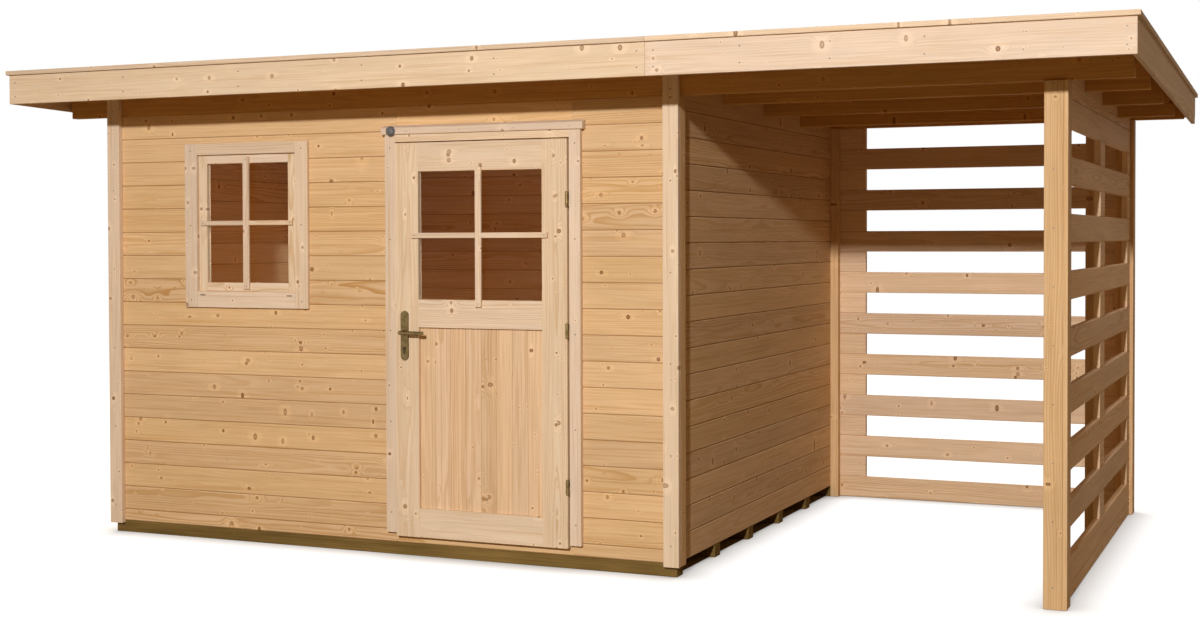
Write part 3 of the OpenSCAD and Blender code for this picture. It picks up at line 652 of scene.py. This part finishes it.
def lathe(bm, profile, centre, axis, segments):
    """Turns a profile of (radius, height) round an axis through the centre."""
    turn = UP.rotation_difference(axis).to_matrix()
    rings = []
    for radius, height in profile:
        count = segments if radius > 0.0 else 1
        angles = [2.0 * math.pi * i / segments for i in range(count)]
        points = [Vector((radius * math.cos(a), radius * math.sin(a), height)) for a in angles]
        rings.append([bm.verts.new(centre + turn @ p) for p in points])
    for lower, upper in zip(rings, rings[1:]):
        for i in range(segments):
            j = (i + 1) % segments
            corners = (lower[i % len(lower)], lower[j % len(lower)],
                       upper[j % len(upper)], upper[i % len(upper)])
            bm.faces.new(list(dict.fromkeys(corners)))


def sweep(bm, loops):
    """A closed skin over loops of points, with both ends capped."""
    rows = [[bm.verts.new(point) for point in loop] for loop in loops]
    for first, second in zip(rows, rows[1:]):
        for i in range(len(first)):
            j = (i + 1) % len(first)
            bm.faces.new((first[i], first[j], second[j], second[i]))
    bm.faces.new(rows[0][::-1])
    bm.faces.new(rows[-1])
    bmesh.ops.recalc_face_normals(bm, faces=bm.faces)


def arc(x, z, radius, first, last, count=10):
    """Points of an arc between two angles in degrees."""
    angles = [math.radians(first + (last - first) * i / count) for i in range(count + 1)]
    return [(x + radius * math.cos(a), z + radius * math.sin(a)) for a in angles]


def steps(first, last, count):
    """Even steps from the first value to the last."""
    return [first + (last - first) * i / (count - 1) for i in range(count)]


def spread(low, high, row):
    """Places along an edge for a row of fasteners."""
    from_low, from_high, count = row
    return steps(low + from_low, high - from_high, count)


def heads(name, places, axis, body=SHED, radius=SCREW_RADIUS):
    """Countersunk heads, joined in one piece."""
    bm = bmesh.new()
    dish = [(radius * share, height) for share, height in HEAD_DISH]
    for place in places:
        lathe(bm, dish, place, axis, segments=10)
    return put(name, smooth_mesh(bm, name), NAIL, body)


def glazing_bars(node, widths, body):
    """Two bars that cross on a pane: the upright runs through, the other stops against it."""
    low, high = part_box(node)
    middle = (low + high) / 2
    x0, x1 = middle.x - widths[0] / 2, middle.x + widths[0] / 2
    z0, z1 = middle.z - widths[1] / 2, middle.z + widths[1] / 2
    bars = [
        (Vector((x0, low.y, low.z)), Vector((x1, high.y, high.z))),
        (Vector((low.x, low.y, z0)), Vector((x0, high.y, z1))),
        (Vector((x1, low.y, z0)), Vector((high.x, high.y, z1))),
    ]
    timber(node + "_wood", box_boards(bars), TRIM, body=body, nodes=[node])
    pins = [Vector((middle.x, low.y, z)) for z in (low.z + PIN_INSET, high.z - PIN_INSET)]
    pins += [Vector((x, low.y, middle.z)) for x in (low.x + PIN_INSET, high.x - PIN_INSET)]
    heads(node + "_pins", pins, FRONT, body, radius=NAIL_RADIUS)


def window():
    """Casing, sash, lining and bars of the window, the casing's screws and drain slots."""
    casing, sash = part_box("window_casing"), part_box("window_sash")
    pane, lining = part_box("window_glass"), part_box("window_lining")
    boards = box_boards(ring_boards(casing, sash))
    timber("window_casing_boards", boards, TRIM, nodes=["window_casing"])
    boards = box_boards(ring_boards(sash, pane))
    timber("window_sash_frame", boards, TRIM, nodes=["window_sash"])
    # The lining takes the spruce darkened as painted shade
    boards = box_boards(ring_boards(lining, sash))
    timber("window_lining_boards", boards, SPRUCE_IN_SHADE, nodes=["window_lining"],
           rounding=PLANK_ROUND)
    glazing_bars("window_bars", WINDOW_BARS, SHED)
    sides = (casing[0].x + CASING_INSET, casing[1].x - CASING_INSET)
    screws = [Vector((x, casing[0].y, z)) for x in sides
              for z in spread(casing[0].z, casing[1].z, CASING_ROW)]
    heads("window_casing_screws", screws, FRONT)
    # Drain slots as thin near-black pieces on the casing: painted shade for the holes
    bm = bmesh.new()
    z = sash[0].z - DRAIN_DROP
    for x in (pane[0].x - DRAIN_OUT, pane[1].x + DRAIN_OUT):
        outline = arc(x + DRAIN_HALF, z, DRAIN_RADIUS, -90, 90)
        outline += arc(x - DRAIN_HALF, z, DRAIN_RADIUS, 90, 270)
        ends = (casing[0].y + DRAIN_DEPTH, casing[0].y - DRAIN_PROUD)
        sweep(bm, [[Vector((a, y, b)) for a, b in outline] for y in ends])
    put("window_drain_slots", smooth_mesh(bm, "window_drain_slots"), SHADOW, SHED)


def door():
    """Frame, lining, leaf and bars of the door, the frame's screws and the drip strip's nails."""
    leaf, casing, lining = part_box("door_stiles"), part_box("door_frame"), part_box("door_lining")
    gap, thick = Vector((LEAF_GAP, 0.0, LEAF_GAP)), Vector((DOOR_LINING, 0.0, DOOR_LINING))
    boards = box_boards(ring_boards(casing, (leaf[0] - gap, leaf[1] + gap))[:3])
    timber("door_frame_boards", boards, TRIM, nodes=["door_frame"], rounding=PLANK_ROUND)
    # The lining takes the spruce darkened as painted shade
    boards = box_boards(ring_boards(lining, (lining[0] + thick, lining[1] - thick))[:3])
    timber("door_lining_boards", boards, SPRUCE_IN_SHADE, nodes=["door_lining"],
           rounding=PLANK_ROUND)
    for node in ("door_stiles", "door_rails"):
        timber(node + "_wood", cad_boards(node), TRIM, body=DOOR, nodes=[node],
               rounding=PLANK_ROUND)
    low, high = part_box("door_panel")
    boards = cad_boards("door_panel", 0, steps(low.x, high.x, PANEL_BOARDS + 1)[1:-1])
    timber("door_panel_boards", boards, PANEL, body=DOOR, nodes=["door_panel"],
           rounding=PLANK_ROUND)
    glazing_bars("door_bars", DOOR_BARS, DOOR)
    sides = (casing[0].x + FRAME_INSET, casing[1].x - FRAME_INSET)
    screws = [Vector((x, casing[0].y, z)) for x in sides
              for z in spread(casing[0].z, casing[1].z, FRAME_ROW)]
    heads("door_frame_screws", screws, FRONT)
    low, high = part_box("door_drip_strip")
    nails = [Vector((x, low.y, high.z - NAIL_INSET)) for x in spread(low.x, high.x, DRIP_ROW)]
    heads("drip_strip_nails", nails, FRONT, radius=STRIP_NAIL_RADIUS)


def metal_copy(name, node, material, body, rounding):
    """The node's own shape with rounded edges."""
    bm = cad_copy(node)
    round_edges(bm, angle=45, rounding=rounding, segments=3)
    return put(name, smooth_mesh(bm, name, angle=32.0), material, body, [node])


def hinges():
    """Both halves of the hinges, with a domed cap on the outer end of each."""
    metal_copy("hinge_frame_leaves", "hinge_frame_halves", STEEL, SHED, METAL_ROUND)
    metal_copy("hinge_door_leaves", "hinge_door_halves", STEEL, DOOR, METAL_ROUND)
    halves = (("hinge_frame_halves", DOWN, 0, SHED), ("hinge_door_halves", UP, 1, DOOR))
    for node, axis, end, body in halves:
        bm = bmesh.new()
        for pair in boxes(node):
            x = (pair[0].x + pair[1].x) / 2
            centre = Vector((x, pair[0].y + HINGE_AXIS_IN, pair[end].z))
            lathe(bm, HINGE_CAP, centre, axis, segments=16)
        put(node + "_caps", smooth_mesh(bm, node), STEEL, body)


def handle_and_lock():
    """Handle plates with collars and screws, the lever, and the lock barrel with its key slits."""
    metal_copy("handle_back_plates", "handle_plates", BRASS, DOOR, PLATE_ROUND)
    metal_copy("lever_handle", "handle_lever", BRASS, LEVER, METAL_ROUND)
    plates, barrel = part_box("handle_plates"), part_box("lock_cylinders")
    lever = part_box("handle_lever")
    x = (plates[0].x + plates[1].x) / 2
    key_z, turn_z = (barrel[0].z + barrel[1].z) / 2, (lever[0].z + lever[1].z) / 2
    bm = bmesh.new()
    screws = []
    for face, axis in ((plates[0].y, FRONT), (plates[1].y, BACK)):
        lathe(bm, COLLAR, Vector((x, face, turn_z)), axis, segments=28)
        heights = (plates[0].z + PLATE_SCREW_INSET, plates[1].z - PLATE_SCREW_INSET)
        screws.append([Vector((x, face, z)) for z in heights])
    put("handle_collars", smooth_mesh(bm, "handle_collars"), BRASS, DOOR)
    heads("handle_screws_front", screws[0], FRONT, DOOR)
    heads("handle_screws_back", screws[1], BACK, DOOR)

    bm, slots = bmesh.new(), bmesh.new()
    outline = arc(x, key_z, LOCK_RADIUS, -54, 234, 20)
    outline += arc(x, key_z - LOCK_TAIL_DROP, LOCK_TAIL_RADIUS, 180, 360)
    front, back = barrel[0].y, barrel[1].y
    ends = [(front, LOCK_FACE_SCALE), (front + LOCK_CHAMFER, 1.0), (back - LOCK_CHAMFER, 1.0),
            (back, LOCK_FACE_SCALE)]
    sweep(bm, [[Vector((x + (a - x) * s, y, key_z + (b - key_z) * s)) for a, b in outline]
               for y, s in ends])
    # The barrel takes the bronze darkened as painted shade
    put("lock_barrel", smooth_mesh(bm, "lock_barrel"), LOCK, DOOR, ["lock_cylinders"])
    # Key slits as thin near-black pieces on the barrel: painted shade for the keyways
    slit = arc(x, key_z + SLIT_HALF, SLIT_RADIUS, 0, 180, 6)
    slit += arc(x, key_z - SLIT_HALF, SLIT_RADIUS, 180, 360, 6)
    for face, way in ((front, -1), (back, 1)):
        depths = (face - way * SLIT_DEPTH, face + way * SLIT_PROUD)
        sweep(slots, [[Vector((a, y, b)) for a, b in slit] for y in depths])
    put("key_slots", smooth_mesh(slots, "key_slots"), SHADOW, DOOR)


def rubber_button():
    """The round button over the door's corner, with a screw in its middle."""
    low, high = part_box("door_buffer")
    centre = Vector(((low.x + high.x) / 2, high.y, (low.z + high.z) / 2))
    bm = bmesh.new()
    lathe(bm, KNOB, centre, FRONT, segments=40)
    mesh = smooth_mesh(bm, "buffer_knob", angle=50.0)
    put("buffer_knob", mesh, RUBBER, SHED, ["door_buffer"])
    heads("buffer_screw", [centre + FRONT * KNOB_SCREW_OUT], FRONT, radius=BUFFER_SCREW_RADIUS)


def felt_sheets():
    """Roofing sheet in rows along the building; the rear edge of each lies on the row behind it."""
    low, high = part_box("roof_felt")
    fall = (high.z - low.z - FELT_THICK) / (high.y - low.y)
    pitch = (high.y - low.y - FELT_LAP) / FELT_ROWS
    thick = Vector((0.0, 0.0, FELT_THICK))
    chance = random.Random("felt")
    bm = bmesh.new()
    for row in range(FELT_ROWS):
        lapped = row < FELT_ROWS - 1
        front = low.y + row * pitch
        rear = front + pitch + FELT_LAP if lapped else high.y
        lap = rear - FELT_LAP
        depths = [front, front + 0.3 * pitch, lap - FELT_RISE, lap, rear - FELT_LAP / 2, rear]
        lifts = [0.0, 0.0, 0.0, 1.0, 1.0, 1.0] if lapped else [0.0] * 6
        loops = []
        for x in steps(low.x, high.x, FELT_STEPS):
            wave = chance.uniform(0.0, FELT_WAVE)
            edge = [0.0, 0.0, 0.0, wave, wave, wave * 2 if lapped else 0.0]
            under = []
            for y, lift, rise in zip(depths, lifts, edge):
                z = high.z - FELT_THICK - fall * (y - low.y) + lift * FELT_THICK
                under.append(Vector((x, y, z + rise)))
            loops.append(under + [point + thick for point in under][::-1])
        sweep(bm, loops)
    mesh = smooth_mesh(bm, "felt_rows", angle=60.0)
    put("felt_rows", mesh, FELT, SHED, ["roof_felt"])


def corner_screws():
    """Screws of the corner boards on the front and the back."""
    for node, axis in (("front_corner_boards", FRONT), ("rear_corner_boards", BACK)):
        places = []
        for low, high in boxes(node):
            x, y = (low.x + high.x) / 2, low.y if axis == FRONT else high.y
            places += [Vector((x, y, z)) for z in spread(low.z, high.z, CORNER_ROW)]
        heads(node + "_screws", places, axis)


def fascia_screws():
    """Screws of the fascias; those at the sides follow the roof boards' edge."""
    places = []
    for low, high in boxes("front_fascia"):
        heights = (low.z + FASCIA_INSET, high.z - FASCIA_INSET)
        for x in spread(low.x, high.x, FASCIA_ROW):
            places += [Vector((x, low.y, z)) for z in heights]
    heads("front_fascia_screws", places, FRONT)
    low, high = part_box("side_fascias")
    deck_low, deck_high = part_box("roof_deck")
    fall = (deck_high.z - deck_low.z - DECK_THICK) / (deck_high.y - deck_low.y)
    top = deck_high.z - DECK_THICK / 2
    edge = [(y, top - fall * (y - deck_low.y)) for y in spread(low.y, high.y, SIDE_FASCIA_ROW)]
    sides = (("left_fascia_screws", low.x, LEFT), ("right_fascia_screws", high.x, RIGHT))
    for name, x, axis in sides:
        heads(name, [Vector((x, y, z)) for y, z in edge], axis)
    low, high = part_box("rear_fascia")
    heights = (low.z + REAR_FASCIA_INSET, high.z - REAR_FASCIA_INSET)
    places = [Vector((x, high.y, z)) for x in spread(low.x, high.x, REAR_FASCIA_ROW) for z in heights]
    heads("rear_fascia_screws", places, BACK)


def bay_fastenings():
    """Screws of the bay's front board and nails of its slats."""
    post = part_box("store_front_board")
    slats = boxes("side_slats")
    x = (post[0].x + post[1].x) / 2
    screws = [Vector((x, post[0].y, (s[0].z + s[1].z) / 2)) for s in slats]
    heads("bay_post_screws", screws, FRONT)
    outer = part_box("side_slats")[1].x
    batten = sorted(boxes("store_battens"), key=lambda pair: abs(pair[0].y))[0]
    y = (batten[0].y + batten[1].y) / 2
    nails = [Vector((outer, y, z)) for s in slats for z in (s[0].z + NAIL_INSET, s[1].z - NAIL_INSET)]
    heads("side_slat_nails", nails, RIGHT, radius=NAIL_RADIUS)
    low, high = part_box("back_slats")
    ends = (low.x + BACK_NAIL_INSET, high.x - BACK_NAIL_INSET)
    nails = [Vector((x, high.y, z)) for s in boxes("back_slats") for x in ends
             for z in (s[0].z + NAIL_INSET, s[1].z - NAIL_INSET)]
    heads("back_slat_nails", nails, BACK, radius=NAIL_RADIUS)


def set_floor():
    """A wide flat floor just under the object."""
    size = FLOOR_REACH
    corners = [(-size, -size, 0), (size, -size, 0), (size, size, 0), (-size, size, 0)]
    mesh = bpy.data.meshes.new("floor")
    mesh.from_pydata(corners, [], [(0, 1, 2, 3)])
    mesh.materials.append(floor_material("pale_floor"))
    floor = bpy.data.objects.new("floor", mesh)
    floor.location.z = -FLOOR_DROP
    bpy.context.scene.collection.objects.link(floor)


def set_world():
    """Soft warm light from all round; the eye, metal and glass see white in its place."""
    world = bpy.data.worlds.new("studio")
    bpy.context.scene.world = world
    world.use_nodes = True
    tree = world.node_tree
    tree.nodes.clear()
    path = tree.nodes.new("ShaderNodeLightPath").outputs
    seen = path["Is Camera Ray"]
    for ray in ("Is Glossy Ray", "Is Transmission Ray"):
        either = tree.nodes.new("ShaderNodeMath")
        either.operation = "MAXIMUM"
        tree.links.new(seen, either.inputs[0])
        tree.links.new(path[ray], either.inputs[1])
        seen = either.outputs[0]
    fill, white = tree.nodes.new("ShaderNodeBackground"), tree.nodes.new("ShaderNodeBackground")
    fill.inputs["Color"].default_value = AMBIENT
    fill.inputs["Strength"].default_value = AMBIENT_STRENGTH
    white.inputs["Color"].default_value = (1.0, 1.0, 1.0, 1.0)
    choice = tree.nodes.new("ShaderNodeMixShader")
    output = tree.nodes.new("ShaderNodeOutputWorld")
    for number, source in enumerate((seen, fill.outputs[0], white.outputs[0])):
        tree.links.new(source, choice.inputs[number])
    tree.links.new(choice.outputs[0], output.inputs[0])


def add_lamp(name, kind, power, place):
    data = bpy.data.lights.new(name, kind)
    data.energy = power
    lamp = bpy.data.objects.new(name, data)
    lamp.location = place
    bpy.context.scene.collection.objects.link(lamp)
    return lamp


def set_lamps():
    """The key in front, a panel behind, and a warm lamp inside that itself stays unseen."""
    right, up = math.radians(KEY_RIGHT), math.radians(KEY_UP)
    level = math.cos(up)
    towards = Vector((math.sin(right) * level, -math.cos(right) * level, math.sin(up)))
    key = add_lamp("key", "AREA", KEY_POWER, KEY_AIM + towards * KEY_DISTANCE)
    key.data.shape = "DISK"
    key.data.size = KEY_SIZE
    key.rotation_euler = towards.to_track_quat("Z", "Y").to_euler()

    rear = add_lamp("rear", "AREA", REAR_POWER, REAR_PLACE)
    rear.data.size = REAR_SIZE
    rear.rotation_euler = (REAR_PLACE - KEY_AIM).to_track_quat("Z", "Y").to_euler()

    low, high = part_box("floor_boards")
    x, y = (low[axis] + (high[axis] - low[axis]) * INSIDE_SHARES[axis] for axis in (0, 1))
    inside = add_lamp("inside", "POINT", INSIDE_POWER, (x, y, INSIDE_HEIGHT))
    inside.data.color = INSIDE_COLOUR
    inside.data.shadow_soft_size = INSIDE_SIZE
    inside.visible_camera = inside.visible_glossy = inside.visible_transmission = False


def set_camera():
    """Puts the camera where the photograph was taken from."""
    yaw, down, roll = (math.radians(a) for a in (CAMERA_YAW, CAMERA_DOWN, CAMERA_ROLL))
    ahead = math.cos(down)
    forward = Vector((-math.sin(yaw) * ahead, math.cos(yaw) * ahead, -math.sin(down)))
    level = Vector((math.cos(yaw), math.sin(yaw), 0.0))
    below = forward.cross(level)
    right = level * math.cos(roll) + below * math.sin(roll)
    above = level * math.sin(roll) - below * math.cos(roll)
    data = bpy.data.cameras.new("camera")
    data.sensor_fit = "HORIZONTAL"
    data.sensor_width = SENSOR_MM
    data.lens = FOCAL_PIXELS / IMAGE_WIDTH * SENSOR_MM
    data.shift_x = (IMAGE_WIDTH / 2 - CENTRE_PIXELS[0]) / IMAGE_WIDTH
    data.shift_y = (CENTRE_PIXELS[1] - IMAGE_HEIGHT / 2) / IMAGE_WIDTH
    camera = bpy.data.objects.new("camera", data)
    turn = Matrix((right, above, -forward)).transposed().to_4x4()
    camera.matrix_world = Matrix.Translation(CAMERA_PLACE) @ turn
    bpy.context.scene.collection.objects.link(camera)
    bpy.context.scene.camera = camera


set_camera()
set_floor()
set_world()
set_lamps()
walls_and_floor()
log_bay()
trim_boards()
roof()
window()
door()
hinges()
handle_and_lock()
rubber_button()
felt_sheets()
corner_screws()
fascia_screws()
bay_fastenings()
for pane in ("window_glass", "door_glass"):
    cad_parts[pane].data.materials.clear()
    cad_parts[pane].data.materials.append(GLASS)

bpy.context.scene.view_settings.view_transform = "Standard"
